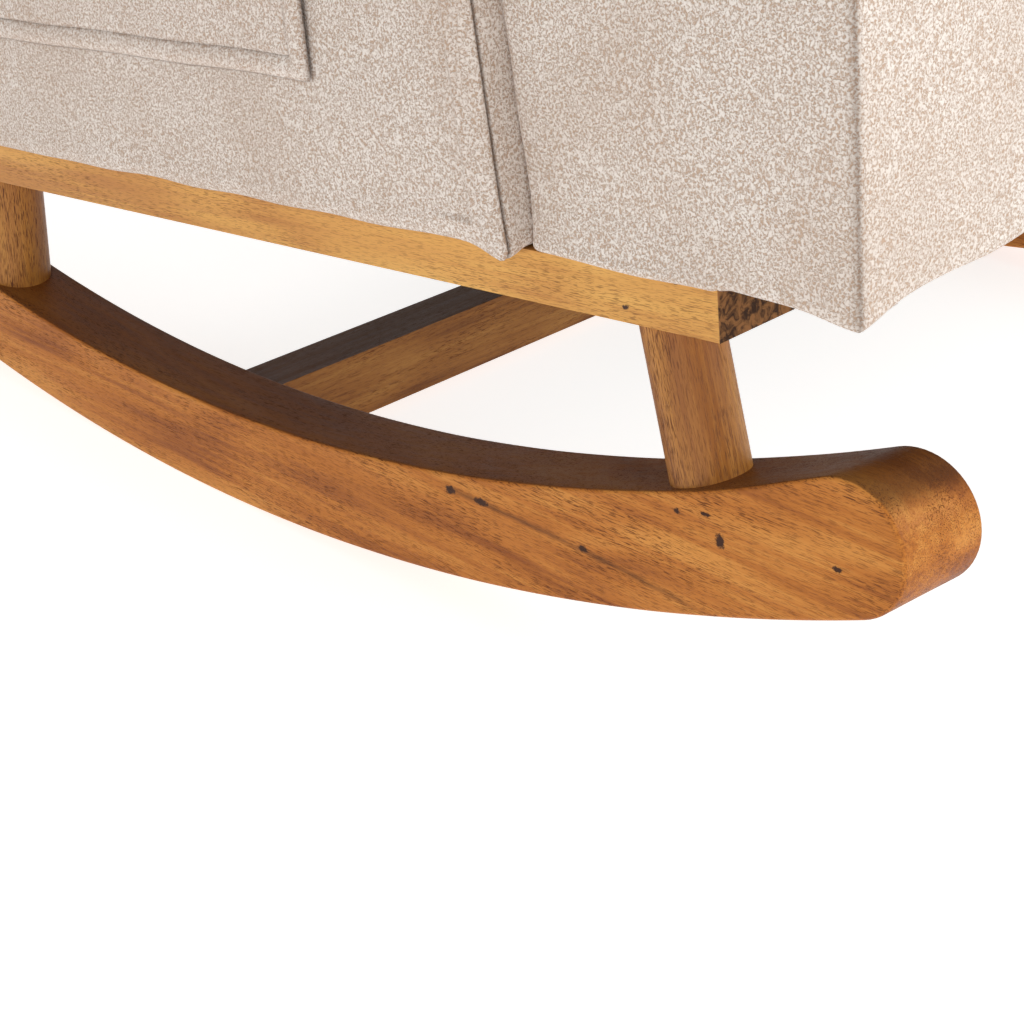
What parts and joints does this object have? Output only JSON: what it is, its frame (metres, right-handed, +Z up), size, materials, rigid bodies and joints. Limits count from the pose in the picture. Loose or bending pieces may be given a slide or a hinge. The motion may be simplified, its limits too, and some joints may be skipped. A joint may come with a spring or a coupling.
{
  "type": "upholstered rocking chair",
  "caption": "High-backed nursery rocking chair on curved wooden runners, with set-back upholstered arms, side pockets and a loose T-shaped seat cushion.",
  "frame": {"origin": "on the floor, below the middle of the chair's overall width and depth, with the chair leaning as it rests when empty", "axes": "+Z up; -Y is the way the sitter faces; +X is to the right of a person who stands in front and looks at the chair; left and right in node names are as seen from the front"},
  "size_m": [0.7064, 0.906, 0.9686],
  "materials": {
    "rocker_wood": "orange-brown hardwood, satin oil, diagonal grain with small dark knots",
    "rail_wood": "light honey hardwood, satin, fine dark pores; ends left rough and dark",
    "leg_wood": "mid brown turned hardwood, satin, dark pores along the grain",
    "stretcher_wood": "dark brown hardwood, satin",
    "bolt_steel": "dark plated",
    "zinc_steel": "zinc plated",
    "frame_board": "bare plywood and softwood",
    "spring_steel": "blued",
    "felt": "pressed felt",
    "foam": "open-cell foam",
    "dust_cloth": "thin non-woven cloth",
    "upholstery": "oatmeal chenille in two close tones, matte",
    "hardboard": "bare hardboard",
    "pocket_cloth": "oatmeal chenille in two close tones, matte",
    "webbing": "woven elastic",
    "cushion_cloth": "oatmeal chenille in two close tones, matte",
    "zip_tape": "woven tape with coil teeth",
    "zip_metal": "cast zinc, satin"
  },
  "bodies": {
    "chair": {"left_rocker": "rocker_wood", "right_rocker": "rocker_wood", "left_rail": "rail_wood", "right_rail": "rail_wood", "left_front_leg": "leg_wood", "left_rear_leg": "leg_wood", "right_front_leg": "leg_wood", "right_rear_leg": "leg_wood", "cross_stretcher": "stretcher_wood", "leg_bolts": "bolt_steel", "foot_screws": "bolt_steel", "rail_bolts": "bolt_steel", "rail_tee_nuts": "zinc_steel", "seat_front_board": "frame_board", "seat_rear_board": "frame_board", "left_seat_board": "frame_board", "right_seat_board": "frame_board", "left_wing_board": "frame_board", "right_wing_board": "frame_board", "wing_blocks": "frame_board", "seat_corner_blocks": "frame_board", "seat_springs": "spring_steel", "spring_clips": "zinc_steel", "deck_felt": "felt", "deck_foam": "foam", "dust_cover": "dust_cloth", "seat_cover": "upholstery", "left_arm_front_post": "frame_board", "left_arm_rear_post": "frame_board", "left_arm_top_rail": "frame_board", "left_arm_bottom_rail": "frame_board", "left_arm_panel": "hardboard", "left_arm_cover": "upholstery", "left_pocket": "pocket_cloth", "right_arm_front_post": "frame_board", "right_arm_rear_post": "frame_board", "right_arm_top_rail": "frame_board", "right_arm_bottom_rail": "frame_board", "right_arm_panel": "hardboard", "right_arm_cover": "upholstery", "right_pocket": "pocket_cloth", "arm_bolts": "bolt_steel", "left_back_stile": "frame_board", "right_back_stile": "frame_board", "left_shoulder_post": "frame_board", "right_shoulder_post": "frame_board", "back_top_rail": "frame_board", "back_lower_rail": "frame_board", "back_webbing": "webbing", "back_foam": "foam", "back_cover": "upholstery", "back_bolts": "bolt_steel"},
    "cushion": {"seat_cushion": "cushion_cloth", "cushion_core": "foam", "cushion_zip": "zip_tape"},
    "slider": {"zip_slider": "zip_metal"}
  },
  "joints": [
    {"name": "cushion_lift", "type": "slide", "parent": "chair", "child": "cushion", "axis": [0, 0.1219, 0.9925], "range_m": [0, 0.3]},
    {"name": "zip_slide", "type": "slide", "parent": "cushion", "child": "slider", "axis": [1, 0, 0], "range_m": [0, 0.364]}
  ]
}
